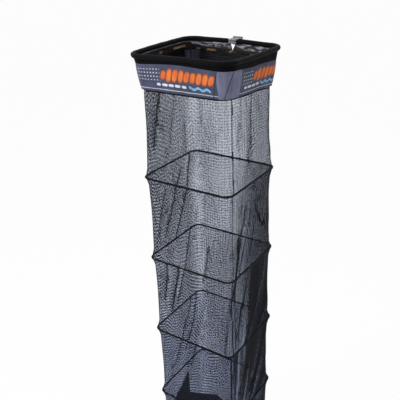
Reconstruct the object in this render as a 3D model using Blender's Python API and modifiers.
"""Keep net: a padded rectangular mouth on a tilting bank-stick head, with hooped mesh bays below it.

Metres, +Z up. The origin is on the stud's axis, where the stud leaves the tilt head.
+X runs along the long side of the mouth, and +Y points away from the net, towards the bank.
"""

import math

import bmesh
import bpy
from mathutils import Vector

# Mouth ring: a bent tube in foam padding and a cloth sleeve
MOUTH_LONG = 0.538
MOUTH_SHORT = 0.486
MOUTH_CORNER = 0.068
TUBE_RADIUS = 0.005
TUBE_END_GAP = 0.001
PADDING_RADIUS = 0.0102
SLEEVE_RADIUS = 0.0115
SLEEVE_CLOTH = 0.001
SLEEVE_END_TAPER = 0.009
SLEEVE_END_SHARES = (0.35, 0.7)

# Collar below the mouth: skirt, printed band, lining and hem
SKIRT_DROP = 0.038
SKIRT_INSET = 0.007
SKIRT_CLOTH = 0.0014
BAND_HEIGHT = 0.128
BAND_INSET = 0.026
BAND_SHARES = (0, 0.35, 0.7, 1)
BAND_INSET_POWER = 1.6
BAND_CLOTH = 0.001
LINING_CLOTH = 0.0008
HEM_HEIGHT = 0.007
NOTCH_WIDTH = 0.024
NOTCH_DEPTH = 0.025

# Hoops: wire rectangles joined by a ferrule and bound in cloth tape
HOOP_COUNT = 5
HOOP_INSET_LONG = 0.019
HOOP_INSET_SHORT = 0.018
HOOP_CORNER = 0.040
WIRE_RADIUS = 0.0018
WIRE_END_GAP = 0.001
FERRULE_WALL = 0.0005
FERRULE_LENGTH = 0.030
TAPE_CLOTH = 0.0008

# Mesh bays between the rings
FIRST_BAY = 0.603
BAY = 0.462
MESH_CLOTH = 0.0008
MESH_WAIST = 0.009
FOLD_DEPTH = 0.012
FOLD_RISE_POWER = 0.5
FOLD_PHASE = math.pi / 4
BASE_SAG = 0.014
BASE_SHARES = (1, 0.8, 0.5, 0.2)

# Saddle clamped on the mouth's tube
SADDLE_WIDTH = 0.044
SADDLE_DEPTH = 0.028
SADDLE_HEIGHT = 0.022
SADDLE_SPLIT = 0.0008
SADDLE_EDGE = 0.0025
SCREW_OFFSET = 0.0094
SCREW_RADIUS = 0.002
SCREW_HEAD_RADIUS = 0.0035
SCREW_HEAD_HEIGHT = 0.004
SCREW_KEY_RADIUS = 0.0017
SCREW_KEY_DEPTH = 0.0022
SCREW_LENGTH = 0.016

# Tilt pivot: ears on the saddle, a tongue on the head, a bolt, washers and a knob
PIVOT_REACH = 0.034
PIVOT_ABOVE_TUBE = 0.006
EAR_SPAN = 0.036
EAR_RADIUS = 0.012
TONGUE_THICKNESS = 0.012
TONGUE_RADIUS = 0.011
TONGUE_NECK = math.radians(40)
WASHER_THICKNESS = 0.001
WASHER_RADIUS = 0.0095
BOLT_RADIUS = 0.004
BOLT_HEAD_RADIUS = 0.0072
BOLT_HEAD_HEIGHT = 0.005
BOLT_HEAD_EDGE = 0.001
BOLT_DOME = 0.002
BOLT_DOME_EDGE = 0.0016
KNOB_RADIUS = 0.0125
KNOB_LOBE = 0.0016
KNOB_LOBES = 6
KNOB_THICKNESS = 0.012
KNOB_EDGE = 0.0012

# Tilt head and stud, on which the net stands over a bank stick
PIVOT_RISE = 0.030
BOSS_RADIUS = 0.011
BOSS_EDGE = 0.0015
HEEL_WIDTH = 0.016
HEEL_LENGTH = 0.030
HEEL_THICKNESS = 0.0052
STUD_RADIUS = 0.00476
STUD_LENGTH = 0.020
STUD_SEAT = 0.010
STUD_CHAMFER = 0.0008

# Clearances
SEAT_GAP = 0.0003
BOSS_CLEARANCE = 0.0022
CUT_OVERRUN = 0.003
WELD = 0.00001

# Facets
CORNER_STEPS = 4
TAPE_STEPS = 6
HOSE_SIDES = 10
CLOTH_SIDE_STEPS = 9
CLOTH_CORNER_STEPS = 4
MESH_ROWS = 4
ROUND_STEPS = 24
SMALL_STEPS = 16
KNOB_LOBE_STEPS = 8
SHARP_ANGLE = math.radians(35)

# Sizes worked out from those above
MOUTH_Y = -(PIVOT_REACH + MOUTH_SHORT / 2)
HOOP_LONG = MOUTH_LONG - 2 * HOOP_INSET_LONG
HOOP_SHORT = MOUTH_SHORT - 2 * HOOP_INSET_SHORT
FERRULE_BORE = WIRE_RADIUS + SEAT_GAP
FERRULE_RADIUS = FERRULE_BORE + FERRULE_WALL
TAPE_SLIT = math.asin((MESH_CLOTH / 2 + SEAT_GAP) / (FERRULE_RADIUS + SEAT_GAP))
TAPE_STEP = 2 * (math.pi - TAPE_SLIT) / TAPE_STEPS
TAPE_BORE = (FERRULE_RADIUS + SEAT_GAP) / math.cos(TAPE_STEP / 2)
TAPE_RADIUS = TAPE_BORE + TAPE_CLOTH
COLLAR_DROP = SKIRT_DROP + BAND_HEIGHT
MESH_TOP_FIRST = COLLAR_DROP + HEM_HEIGHT + 2 * SEAT_GAP
MESH_TOP = FERRULE_RADIUS + SEAT_GAP
SLOT_WIDTH = TONGUE_THICKNESS + 2 * WASHER_THICKNESS + 4 * SEAT_GAP
KNOB_START = EAR_SPAN / 2 + SEAT_GAP
KNOB_END = KNOB_START + KNOB_THICKNESS
BOSS_TOP = PIVOT_RISE - EAR_RADIUS - BOSS_CLEARANCE
SADDLE_BOTTOM = PIVOT_RISE - PIVOT_ABOVE_TUBE - SADDLE_HEIGHT / 2

COLOURS = {
    "cast_grey": ((0.32, 0.33, 0.34), 0.38, 0.9),
    "bright_steel": ((0.55, 0.56, 0.58), 0.25, 1.0),
    "ring_alloy": ((0.45, 0.46, 0.48), 0.35, 0.9),
    "knob_grey": ((0.20, 0.21, 0.22), 0.45, 0.4),
    "washer_nylon": ((0.05, 0.05, 0.05), 0.6, 0.0),
    "foam": ((0.06, 0.06, 0.065), 0.95, 0.0),
    "black_cloth": ((0.018, 0.018, 0.02), 0.8, 0.0),
    "gloss_lining": ((0.02, 0.02, 0.023), 0.3, 0.0),
    "slate_cloth": ((0.16, 0.165, 0.22), 0.7, 0.0),
    "net_mesh": ((0.05, 0.052, 0.06), 0.75, 0.0),
}


def clear_scene():
    for obj in list(bpy.data.objects):
        bpy.data.objects.remove(obj, do_unlink=True)


def make_collection(name):
    made = bpy.data.collections.new(name)
    bpy.context.scene.collection.children.link(made)
    return made


def make_materials():
    made = {}
    for name, (colour, roughness, metallic) in COLOURS.items():
        material = bpy.data.materials.new(name)
        material.use_nodes = True
        shader = material.node_tree.nodes["Principled BSDF"]
        shader.inputs["Base Color"].default_value = (*colour, 1.0)
        shader.inputs["Roughness"].default_value = roughness
        shader.inputs["Metallic"].default_value = metallic
        made[name] = material
    return made


clear_scene()
PARTS = make_collection("keep_net")
CUTTERS = make_collection("cutters")
MATERIALS = make_materials()


# Placing objects


def place(name, data, parent, material, offset=(0, 0, 0), turn=(0, 0, 0)):
    """A named piece, on its parent's joint frame."""
    obj = bpy.data.objects.new(name, data)
    obj.parent = parent
    obj.location = offset
    obj.rotation_euler = turn
    obj.data.materials.append(MATERIALS[material])
    PARTS.objects.link(obj)
    return obj


def joint_frame(name, parent, offset):
    frame = bpy.data.objects.new(name, None)
    frame.parent = parent
    frame.location = offset
    PARTS.objects.link(frame)
    return frame


def as_helper(obj):
    """Moves a cutter or a joined shape out of the parts and hides it from renders."""
    if obj.name in PARTS.objects:
        PARTS.objects.unlink(obj)
        CUTTERS.objects.link(obj)
    obj.hide_render = True
    obj.display_type = "WIRE"
    return obj


def combine(obj, other, operation):
    modifier = obj.modifiers.new(other.name, "BOOLEAN")
    modifier.operation = operation
    modifier.object = as_helper(other)
    modifier.solver = "EXACT"


def solidify(obj, thickness):
    """Gives an open outer surface a wall that lies inside it."""
    modifier = obj.modifiers.new("Wall", "SOLIDIFY")
    modifier.thickness = thickness
    modifier.offset = -1
    modifier.use_even_offset = False
    return obj


def round_edges(obj, width, segments=2):
    modifier = obj.modifiers.new("Rounding", "BEVEL")
    modifier.width = width
    modifier.segments = segments
    modifier.limit_method = "ANGLE"
    return obj


# Basic shapes


def block(name, low, high, parent, material):
    """A box between two corners, in its parent's frame."""
    low, high = Vector(low), Vector(high)
    shape = bmesh.new()
    bmesh.ops.create_cube(shape, size=1)
    bmesh.ops.scale(shape, vec=high - low, verts=shape.verts)
    mesh = bpy.data.meshes.new(name)
    shape.to_mesh(mesh)
    shape.free()
    return place(name, mesh, parent, material, (low + high) / 2)


def turned(name, profile, parent, material, offset=(0, 0, 0), turn=(0, 0, 0), steps=ROUND_STEPS):
    """A profile of (radius, height) points, top to bottom, turned about its own Z axis."""
    mesh = bpy.data.meshes.new(name)
    points = [(radius, 0, height) for radius, height in profile]
    mesh.from_pydata(points, [(i, i + 1) for i in range(len(points) - 1)], [])
    obj = place(name, mesh, parent, material, offset, turn)
    screw = obj.modifiers.new("Turn", "SCREW")
    screw.steps = steps
    screw.render_steps = steps
    screw.use_merge_vertices = True
    screw.merge_threshold = WELD
    screw.use_smooth_shade = True
    return obj


def rod(name, radius, low, high, parent, material, offset=(0, 0, 0), turn=(0, 0, 0), steps=ROUND_STEPS):
    profile = [(0, high), (radius, high), (radius, low), (0, low)]
    return turned(name, profile, parent, material, offset, turn, steps)


ALONG_X = (0, math.pi / 2, 0)
UPRIGHT_ACROSS_X = (math.pi / 2, 0, math.pi / 2)
UPRIGHT_ACROSS_Y = (math.pi / 2, 0, 0)


def arc_points(centre, radius, start, end, steps):
    angles = [start + (end - start) * step / steps for step in range(steps + 1)]
    return [(centre[0] + radius * math.cos(a), centre[1] + radius * math.sin(a)) for a in angles]


def plate(name, points, thickness, parent, material, offset=(0, 0, 0), turn=(0, 0, 0)):
    """A flat outline of the given thickness, as a closed mesh."""
    curve = curve_along(name, points, True)
    curve.fill_mode = "BOTH"
    curve.extrude = thickness / 2
    drawn = bpy.data.objects.new(name + "_outline", curve)
    PARTS.objects.link(drawn)
    bpy.context.view_layer.update()
    mesh = bpy.data.meshes.new_from_object(drawn.evaluated_get(bpy.context.evaluated_depsgraph_get()))
    bpy.data.objects.remove(drawn)
    shape = bmesh.new()
    shape.from_mesh(mesh)
    bmesh.ops.remove_doubles(shape, verts=shape.verts, dist=WELD)
    bmesh.ops.recalc_face_normals(shape, faces=shape.faces)
    shape.to_mesh(mesh)
    shape.free()
    mesh.materials.clear()
    return place(name, mesh, parent, material, offset, turn)


# Rounded rectangles


def corner_arcs(long_side, short_side, corner, steps):
    """The four corner arcs of a rounded rectangle, anticlockwise from the back right corner.

    Each point is (x, y, outward x, outward y).
    """
    arcs = []
    for quarter, (sign_x, sign_y) in enumerate(((1, 1), (-1, 1), (-1, -1), (1, -1))):
        centre_x = sign_x * (long_side / 2 - corner)
        centre_y = sign_y * (short_side / 2 - corner)
        arc = []
        for step in range(steps + 1):
            angle = (quarter + step / steps) * math.pi / 2
            out_x, out_y = math.cos(angle), math.sin(angle)
            arc.append((centre_x + corner * out_x, centre_y + corner * out_y, out_x, out_y))
        arcs.append(arc)
    return arcs


def hoop_path(long_side, short_side, corner, end_x):
    """An open route round a rounded rectangle that starts and ends at x = end_x on the back side."""
    arcs = corner_arcs(long_side, short_side, corner, CORNER_STEPS)
    points = [(-end_x, short_side / 2)]
    for arc in (arcs[1], arcs[2], arcs[3], arcs[0]):
        points += [(x, y) for x, y, _, _ in arc]
    points.append((end_x, short_side / 2))
    return points


def curve_along(name, points, cyclic, radii=None):
    curve = bpy.data.curves.new(name, "CURVE")
    curve.dimensions = "2D"
    curve.fill_mode = "NONE"
    spline = curve.splines.new("POLY")
    spline.points.add(len(points) - 1)
    for index, (point, (x, y)) in enumerate(zip(spline.points, points, strict=True)):
        point.co = (x, y, 0, 1)
        point.radius = radii[index] if radii else 1
    spline.use_cyclic_u = cyclic
    return curve


def round_bar(name, points, radius, parent, material, resolution=2):
    """A solid round bar along an open route."""
    curve = curve_along(name, points, False)
    curve.dimensions = "3D"
    curve.twist_mode = "Z_UP"
    curve.bevel_depth = radius
    curve.bevel_resolution = resolution
    curve.use_fill_caps = True
    return place(name, curve, parent, material)


def hose(name, points, radius, wall, parent, material, radii=None):
    """A round tube with open ends along an open route."""
    curve = curve_along(name, points, False, radii)
    curve.dimensions = "3D"
    curve.twist_mode = "Z_UP"
    curve.bevel_depth = radius
    curve.bevel_resolution = (HOSE_SIDES - 4) // 2
    return solidify(place(name, curve, parent, material), wall)


# Cloth


def outline(long_side, short_side, corner):
    """Evenly stepped points round a rounded rectangle: (x, y, outward x, outward y, side share).

    The side share runs from 0 to 1 along a straight side and stays 0 on the corners.
    """
    arcs = corner_arcs(long_side, short_side, corner, CLOTH_CORNER_STEPS)
    points = []
    for index, arc in enumerate(arcs):
        points += [(*point, 0) for point in arc]
        start, end = arc[-1], arcs[(index + 1) % len(arcs)][0]
        for step in range(1, CLOTH_SIDE_STEPS):
            share = step / CLOTH_SIDE_STEPS
            x = start[0] + share * (end[0] - start[0])
            y = start[1] + share * (end[1] - start[1])
            points.append((x, y, start[2], start[3], share))
    return points


def cloth(name, rows, thickness, parent, material, closed_centre=False):
    """A sheet through rows of points, each row a closed loop, with its thickness on the inside."""
    shape = bmesh.new()
    loops = [[shape.verts.new(point) for point in row] for row in rows]
    for upper, lower in zip(loops, loops[1:]):
        for index in range(len(upper)):
            after = (index + 1) % len(upper)
            shape.faces.new((upper[index], lower[index], lower[after], upper[after]))
    if closed_centre:
        shape.faces.new(loops[-1][::-1])
    mesh = bpy.data.meshes.new(name)
    shape.to_mesh(mesh)
    shape.free()
    obj = place(name, mesh, parent, material)
    obj.data.shade_smooth()
    return solidify(obj, thickness)


def level_row(long_side, short_side, corner, inset, height):
    points = outline(long_side - 2 * inset, short_side - 2 * inset, corner)
    return [(x, y, height) for x, y, _, _, _ in points]


def band_inset(share):
    """How far the collar has drawn in at a share of the band's height."""
    return SKIRT_INSET + (BAND_INSET - SKIRT_INSET) * share**BAND_INSET_POWER


def fold(side_share, level_share):
    """The depth of the main folds: they fan out from the corners and fade at the rings."""
    waves = CLOTH_SIDE_STEPS / 2 * side_share + level_share / 2
    rise = math.sin(math.pi * level_share) ** FOLD_RISE_POWER
    edge = math.sin(math.pi * side_share)
    return FOLD_DEPTH * rise * edge * math.sin(2 * math.pi * waves + FOLD_PHASE)


def mesh_rows(top, bottom, top_height, bottom_height):
    """Rows of a mesh bay that hangs from the size top to the size bottom: (long, short, corner)."""
    rows = []
    for level in range(MESH_ROWS + 1):
        share = level / MESH_ROWS
        long_side, short_side, corner = (a + share * (b - a) for a, b in zip(top, bottom, strict=True))
        waist = 2 * MESH_WAIST * math.sin(math.pi * share)
        height = top_height + share * (bottom_height - top_height)
        row = []
        for x, y, out_x, out_y, side_share in outline(long_side - waist, short_side - waist, corner):
            depth = fold(side_share, share)
            row.append((x + depth * out_x, y + depth * out_y, height))
        rows.append(row)
    return rows


# Bank-stick head


def build_head(root):
    turn_axis = (0, 0, PIVOT_RISE)
    head = turned(
        "tilt_head",
        [
            (0, BOSS_TOP),
            (BOSS_RADIUS - BOSS_EDGE, BOSS_TOP),
            (BOSS_RADIUS, BOSS_TOP - BOSS_EDGE),
            (BOSS_RADIUS, BOSS_EDGE),
            (BOSS_RADIUS - BOSS_EDGE, 0),
            (0, 0),
        ],
        root,
        "cast_grey",
    )
    half = TONGUE_THICKNESS / 2
    neck = TONGUE_RADIUS * math.cos(TONGUE_NECK)
    rounded = arc_points((0, PIVOT_RISE), TONGUE_RADIUS, -TONGUE_NECK, math.pi + TONGUE_NECK, ROUND_STEPS)
    tongue_outline = [(neck, BOSS_TOP / 2), *rounded, (-neck, BOSS_TOP / 2)]
    tongue = plate("tongue", tongue_outline, TONGUE_THICKNESS, root, "cast_grey", turn=UPRIGHT_ACROSS_X)
    combine(head, tongue, "UNION")
    heel_top = SADDLE_BOTTOM - SEAT_GAP
    heel_low = (-HEEL_WIDTH / 2, -HEEL_LENGTH, heel_top - HEEL_THICKNESS)
    heel_high = (HEEL_WIDTH / 2, 0, heel_top)
    combine(head, block("stop_heel", heel_low, heel_high, root, "cast_grey"), "UNION")
    bore = BOLT_RADIUS + SEAT_GAP
    reach = half + CUT_OVERRUN
    combine(head, rod("head_bore", bore, -reach, reach, root, "cast_grey", turn_axis, ALONG_X), "DIFFERENCE")
    socket_radius = STUD_RADIUS + SEAT_GAP
    socket = rod("stud_socket", socket_radius, -CUT_OVERRUN, STUD_SEAT + SEAT_GAP, root, "cast_grey")
    combine(head, socket, "DIFFERENCE")

    turned(
        "threaded_stud",
        [
            (0, STUD_SEAT),
            (STUD_RADIUS, STUD_SEAT),
            (STUD_RADIUS, STUD_CHAMFER - STUD_LENGTH),
            (STUD_RADIUS - STUD_CHAMFER, -STUD_LENGTH),
            (0, -STUD_LENGTH),
        ],
        root,
        "bright_steel",
    )


# Saddle, bolt and knob


def saddle_half(name, low_z, high_z, tilt):
    centre_y = -PIVOT_REACH
    low = (-SADDLE_WIDTH / 2, centre_y - SADDLE_DEPTH / 2, low_z)
    high = (SADDLE_WIDTH / 2, centre_y + SADDLE_DEPTH / 2, high_z)
    return round_edges(block(name, low, high, tilt, "cast_grey"), SADDLE_EDGE)


def cut_tube_seat(half, tilt):
    reach = SADDLE_WIDTH / 2 + CUT_OVERRUN
    seat = rod(
        half.name + "_tube_seat",
        TUBE_RADIUS + SEAT_GAP,
        -reach,
        reach,
        tilt,
        "cast_grey",
        (0, -PIVOT_REACH, -PIVOT_ABOVE_TUBE),
        ALONG_X,
    )
    combine(half, seat, "DIFFERENCE")


def screw_places():
    """The two screws stand either side of the tube."""
    return {
        "inner": (0, -PIVOT_REACH - SCREW_OFFSET),
        "outer": (0, -PIVOT_REACH + SCREW_OFFSET),
    }


def build_saddle(tilt):
    split = -PIVOT_ABOVE_TUBE
    top = split + SADDLE_HEIGHT / 2
    bottom = split - SADDLE_HEIGHT / 2
    head_seat = top - SCREW_HEAD_HEIGHT

    body = saddle_half("saddle_body", bottom, split - SADDLE_SPLIT / 2, tilt)
    half = EAR_SPAN / 2
    arm_back = SADDLE_DEPTH / 2 - PIVOT_REACH - SADDLE_EDGE * 2
    arm_top = split - SADDLE_SPLIT / 2
    meets_top = math.pi + math.asin(-arm_top / EAR_RADIUS)
    rounded = arc_points((0, 0), EAR_RADIUS, -math.pi / 2, meets_top, ROUND_STEPS)
    ear_outline = [(arm_back, bottom + SADDLE_EDGE), *rounded, (arm_back, arm_top)]
    ears = plate("ears", ear_outline, EAR_SPAN, tilt, "cast_grey", turn=UPRIGHT_ACROSS_X)
    combine(body, ears, "UNION")
    slot_back = SADDLE_DEPTH / 2 - PIVOT_REACH + SADDLE_EDGE
    slot_low = (-SLOT_WIDTH / 2, slot_back, -EAR_RADIUS - PIVOT_REACH)
    slot_high = (SLOT_WIDTH / 2, EAR_RADIUS + CUT_OVERRUN, EAR_RADIUS + CUT_OVERRUN)
    combine(body, block("ear_slot", slot_low, slot_high, tilt, "cast_grey"), "DIFFERENCE")
    reach = half + CUT_OVERRUN
    bolt_bore = rod("ear_bore", BOLT_RADIUS + SEAT_GAP, -reach, reach, tilt, "cast_grey", (0, 0, 0), ALONG_X)
    combine(body, bolt_bore, "DIFFERENCE")
    cut_tube_seat(body, tilt)

    cap = saddle_half("saddle_cap", split + SADDLE_SPLIT / 2, top, tilt)
    cut_tube_seat(cap, tilt)

    for side, (x, y) in screw_places().items():
        tip = head_seat - SCREW_LENGTH
        cutter_profile = [
            (0, top + CUT_OVERRUN),
            (SCREW_HEAD_RADIUS + SEAT_GAP, top + CUT_OVERRUN),
            (SCREW_HEAD_RADIUS + SEAT_GAP, head_seat - SEAT_GAP),
            (SCREW_RADIUS + SEAT_GAP, head_seat - SEAT_GAP),
            (SCREW_RADIUS + SEAT_GAP, tip - SEAT_GAP),
            (0, tip - SEAT_GAP),
        ]
        name = f"{side}_screw_hole"
        cutter = turned(name, cutter_profile, tilt, "cast_grey", (x, y, 0), steps=SMALL_STEPS)
        combine(body, cutter, "DIFFERENCE")
        combine(cap, cutter, "DIFFERENCE")
        screw_profile = [
            (0, top - SCREW_KEY_DEPTH),
            (SCREW_KEY_RADIUS, top - SCREW_KEY_DEPTH),
            (SCREW_KEY_RADIUS, top),
            (SCREW_HEAD_RADIUS, top),
            (SCREW_HEAD_RADIUS, head_seat),
            (SCREW_RADIUS, head_seat),
            (SCREW_RADIUS, tip),
            (0, tip),
        ]
        turned(f"saddle_screw_{side}", screw_profile, tilt, "bright_steel", (x, y, 0), steps=SMALL_STEPS)


def build_pivot(tilt, knob_frame):
    half = EAR_SPAN / 2
    shank_end = KNOB_END + SEAT_GAP
    bolt_profile = [
        (0, shank_end + BOLT_DOME),
        (BOLT_RADIUS - BOLT_DOME_EDGE, shank_end + BOLT_DOME),
        (BOLT_RADIUS, shank_end),
        (BOLT_RADIUS, -half - SEAT_GAP),
        (BOLT_HEAD_RADIUS, -half - SEAT_GAP),
        (BOLT_HEAD_RADIUS, -half - SEAT_GAP - BOLT_HEAD_HEIGHT + BOLT_HEAD_EDGE),
        (BOLT_HEAD_RADIUS - BOLT_HEAD_EDGE, -half - SEAT_GAP - BOLT_HEAD_HEIGHT),
        (0, -half - SEAT_GAP - BOLT_HEAD_HEIGHT),
    ]
    turned("pivot_bolt", bolt_profile, tilt, "bright_steel", (0, 0, 0), ALONG_X)

    washer_bore = BOLT_RADIUS + SEAT_GAP
    middle = TONGUE_THICKNESS / 2 + SEAT_GAP + WASHER_THICKNESS / 2
    for side, sign in (("left", -1), ("right", 1)):
        ring = [
            (washer_bore, -WASHER_THICKNESS / 2),
            (washer_bore, WASHER_THICKNESS / 2),
            (WASHER_RADIUS, WASHER_THICKNESS / 2),
            (WASHER_RADIUS, -WASHER_THICKNESS / 2),
            (washer_bore, -WASHER_THICKNESS / 2),
        ]
        turned(f"pivot_washer_{side}", ring, tilt, "washer_nylon", (sign * middle, 0, 0), ALONG_X)

    build_knob(knob_frame)


def build_knob(knob_frame):
    """A lobed hand knob, its outline a circle with a wave on it."""
    shape = bmesh.new()
    bmesh.ops.create_cone(
        shape,
        cap_ends=True,
        segments=KNOB_LOBES * KNOB_LOBE_STEPS,
        radius1=KNOB_RADIUS,
        radius2=KNOB_RADIUS,
        depth=KNOB_THICKNESS,
    )
    for vert in shape.verts:
        angle = math.atan2(vert.co.y, vert.co.x)
        scale = 1 + KNOB_LOBE / KNOB_RADIUS * (math.cos(KNOB_LOBES * angle) - 1)
        vert.co.x *= scale
        vert.co.y *= scale
    mesh = bpy.data.meshes.new("lock_knob")
    shape.to_mesh(mesh)
    shape.free()
    mesh.shade_smooth()
    mesh.set_sharp_from_angle(angle=SHARP_ANGLE)
    middle = (KNOB_START + KNOB_END) / 2
    knob = place("lock_knob", mesh, knob_frame, "knob_grey", (middle, 0, 0), ALONG_X)
    round_edges(knob, KNOB_EDGE, 1)
    bore_radius = BOLT_RADIUS + SEAT_GAP
    reach = KNOB_THICKNESS
    bore = rod("knob_bore", bore_radius, -reach, reach, knob_frame, "knob_grey", (middle, 0, 0), ALONG_X)
    combine(knob, bore, "DIFFERENCE")


# Mouth ring and collar


def build_mouth(mouth):
    back = MOUTH_SHORT / 2
    route = hoop_path(MOUTH_LONG, MOUTH_SHORT, MOUTH_CORNER, TUBE_END_GAP / 2)
    round_bar("top_ring_tube", route, TUBE_RADIUS, mouth, "ring_alloy")

    start = SADDLE_WIDTH / 2 + SEAT_GAP
    taper = start + SLEEVE_END_TAPER
    arcs = hoop_path(MOUTH_LONG, MOUTH_SHORT, MOUTH_CORNER, start)[1:-1]
    foam_route = [(-taper, back), *arcs, (taper, back)]
    foam_bore = (TUBE_RADIUS + SEAT_GAP) / math.cos(math.pi / HOSE_SIDES)
    hose("ring_padding", foam_route, PADDING_RADIUS, PADDING_RADIUS - foam_bore, mouth, "foam")

    end_scale = (foam_bore + SLEEVE_CLOTH) / SLEEVE_RADIUS
    shares = (0, *SLEEVE_END_SHARES, 1)
    places = [start + share * (SLEEVE_END_TAPER - SEAT_GAP) for share in shares]
    scales = [end_scale + (1 - end_scale) * math.sin(share * math.pi / 2) for share in shares]
    left = [(-x, back) for x in places]
    right = [(x, back) for x in reversed(places)]
    sleeve_route = left + arcs + right
    radii = scales + [1] * len(arcs) + scales[::-1]
    hose("ring_sleeve", sleeve_route, SLEEVE_RADIUS, SLEEVE_CLOTH, mouth, "black_cloth", radii)


def notch(obj, mouth):
    """Cuts the V-shaped notch under the fitting through one layer of the collar."""
    top = -SLEEVE_RADIUS + CUT_OVERRUN
    tip = -SLEEVE_RADIUS - NOTCH_DEPTH
    half = NOTCH_WIDTH / 2 * (top - tip) / NOTCH_DEPTH
    points = [(-half, top), (0, tip), (half, top)]
    name = obj.name + "_notch"
    back = (0, MOUTH_SHORT / 2, 0)
    cutter = plate(name, points, 2 * SLEEVE_RADIUS, mouth, "black_cloth", back, UPRIGHT_ACROSS_Y)
    combine(obj, cutter, "DIFFERENCE")


def build_collar(mouth):
    size = (MOUTH_LONG, MOUTH_SHORT, MOUTH_CORNER)
    skirt_top = -SLEEVE_RADIUS - SEAT_GAP
    skirt_rows = [level_row(*size, 0, skirt_top), level_row(*size, SKIRT_INSET, -SKIRT_DROP)]
    skirt = cloth("collar_skirt", skirt_rows, SKIRT_CLOTH, mouth, "black_cloth")
    notch(skirt, mouth)

    band_top = -SKIRT_DROP - SEAT_GAP
    band_bottom = -COLLAR_DROP
    band_rows = []
    lining_rows = [level_row(*size, SKIRT_CLOTH + SEAT_GAP, skirt_top)]
    for share in BAND_SHARES:
        height = band_top + share * (band_bottom - band_top)
        inset = band_inset(share)
        band_rows.append(level_row(*size, inset, height))
        inner = inset + max(BAND_CLOTH, SKIRT_CLOTH) + SEAT_GAP
        lining_rows.append(level_row(*size, inner, height))
    cloth("collar_band", band_rows, BAND_CLOTH, mouth, "slate_cloth")
    lining = cloth("collar_lining", lining_rows, LINING_CLOTH, mouth, "gloss_lining")
    notch(lining, mouth)

    hem_top = band_bottom - SEAT_GAP
    hem_cloth = max(BAND_CLOTH, SKIRT_CLOTH) + SEAT_GAP + LINING_CLOTH
    hem_rows = [level_row(*size, BAND_INSET, hem_top), level_row(*size, BAND_INSET, hem_top - HEM_HEIGHT)]
    cloth("collar_hem", hem_rows, hem_cloth, mouth, "black_cloth")


# Hoops and mesh


def tape_section():
    """The tape's section: wrapped over the wire, with its two edges open below."""
    start = -math.pi / 2 + TAPE_SLIT
    angles = [start + TAPE_STEP * step for step in range(TAPE_STEPS + 1)]
    outer = [(TAPE_RADIUS * math.cos(a), TAPE_RADIUS * math.sin(a)) for a in angles]
    inner = [(TAPE_BORE * math.cos(a), TAPE_BORE * math.sin(a)) for a in reversed(angles)]
    section = curve_along("tape_section", (outer + inner)[::-1], True)
    guide = bpy.data.objects.new("tape_section", section)
    CUTTERS.objects.link(guide)
    guide.hide_render = True
    return guide


def build_hoop(name, frame, section):
    route = hoop_path(HOOP_LONG, HOOP_SHORT, HOOP_CORNER, WIRE_END_GAP / 2)
    round_bar(f"{name}_wire", route, WIRE_RADIUS, frame, "bright_steel", 1)

    half = FERRULE_LENGTH / 2
    ferrule_profile = [
        (FERRULE_BORE, -half),
        (FERRULE_BORE, half),
        (FERRULE_RADIUS, half),
        (FERRULE_RADIUS, -half),
        (FERRULE_BORE, -half),
    ]
    centre = (0, HOOP_SHORT / 2, 0)
    turned(f"{name}_ferrule", ferrule_profile, frame, "bright_steel", centre, ALONG_X, SMALL_STEPS)

    arcs = corner_arcs(HOOP_LONG, HOOP_SHORT, HOOP_CORNER, CORNER_STEPS)
    curve = curve_along(f"{name}_tape", [(x, y) for arc in arcs for x, y, _, _ in arc], True)
    curve.bevel_mode = "OBJECT"
    curve.bevel_object = section
    place(f"{name}_tape", curve, frame, "black_cloth")


def mesh_size_at_hoop():
    """The mesh's outer face at a hoop, where its cloth is centred on the wire."""
    return (HOOP_LONG + MESH_CLOTH, HOOP_SHORT + MESH_CLOTH, HOOP_CORNER + MESH_CLOTH / 2)


def build_mesh_bay(number, frame, top, top_height, length):
    """A bay from the collar or the slit of one hoop's tape down to the next tape."""
    rows = mesh_rows(top, mesh_size_at_hoop(), -top_height, TAPE_RADIUS + SEAT_GAP - length)
    cloth(f"mesh_bay_{number}", rows, MESH_CLOTH, frame, "net_mesh")


def build_base(frame):
    """The net's closed end: a panel stitched under the last hoop, sagging a little."""
    rows = []
    for share in BASE_SHARES:
        height = -TAPE_RADIUS - SEAT_GAP - MESH_CLOTH - BASE_SAG * (1 - share**2)
        rows.append(level_row(HOOP_LONG * share, HOOP_SHORT * share, HOOP_CORNER * share, 0, height))
    cloth("base_panel", rows, MESH_CLOTH, frame, "net_mesh", closed_centre=True)


def build_net(mouth):
    section = tape_section()
    top = (MOUTH_LONG - 2 * BAND_INSET, MOUTH_SHORT - 2 * BAND_INSET, MOUTH_CORNER)
    build_mesh_bay(1, mouth, top, MESH_TOP_FIRST, FIRST_BAY)
    frame = mouth
    for number in range(1, HOOP_COUNT + 1):
        drop = FIRST_BAY if number == 1 else BAY
        frame = joint_frame(f"hoop_{number}_frame", frame, (0, 0, -drop))
        build_hoop(f"hoop_{number}", frame, section)
        if number < HOOP_COUNT:
            build_mesh_bay(number + 1, frame, mesh_size_at_hoop(), MESH_TOP, BAY)
    build_base(frame)


def main():
    root = joint_frame("bank_stick_frame", None, (0, 0, 0))
    tilt = joint_frame("tilt_frame", root, (0, 0, PIVOT_RISE))
    knob_frame = joint_frame("knob_frame", tilt, (0, 0, 0))
    mouth = joint_frame("mouth_frame", tilt, (0, MOUTH_Y, -PIVOT_ABOVE_TUBE))
    build_head(root)
    build_saddle(tilt)
    build_pivot(tilt, knob_frame)
    build_mouth(mouth)
    build_collar(mouth)
    build_net(mouth)


main()
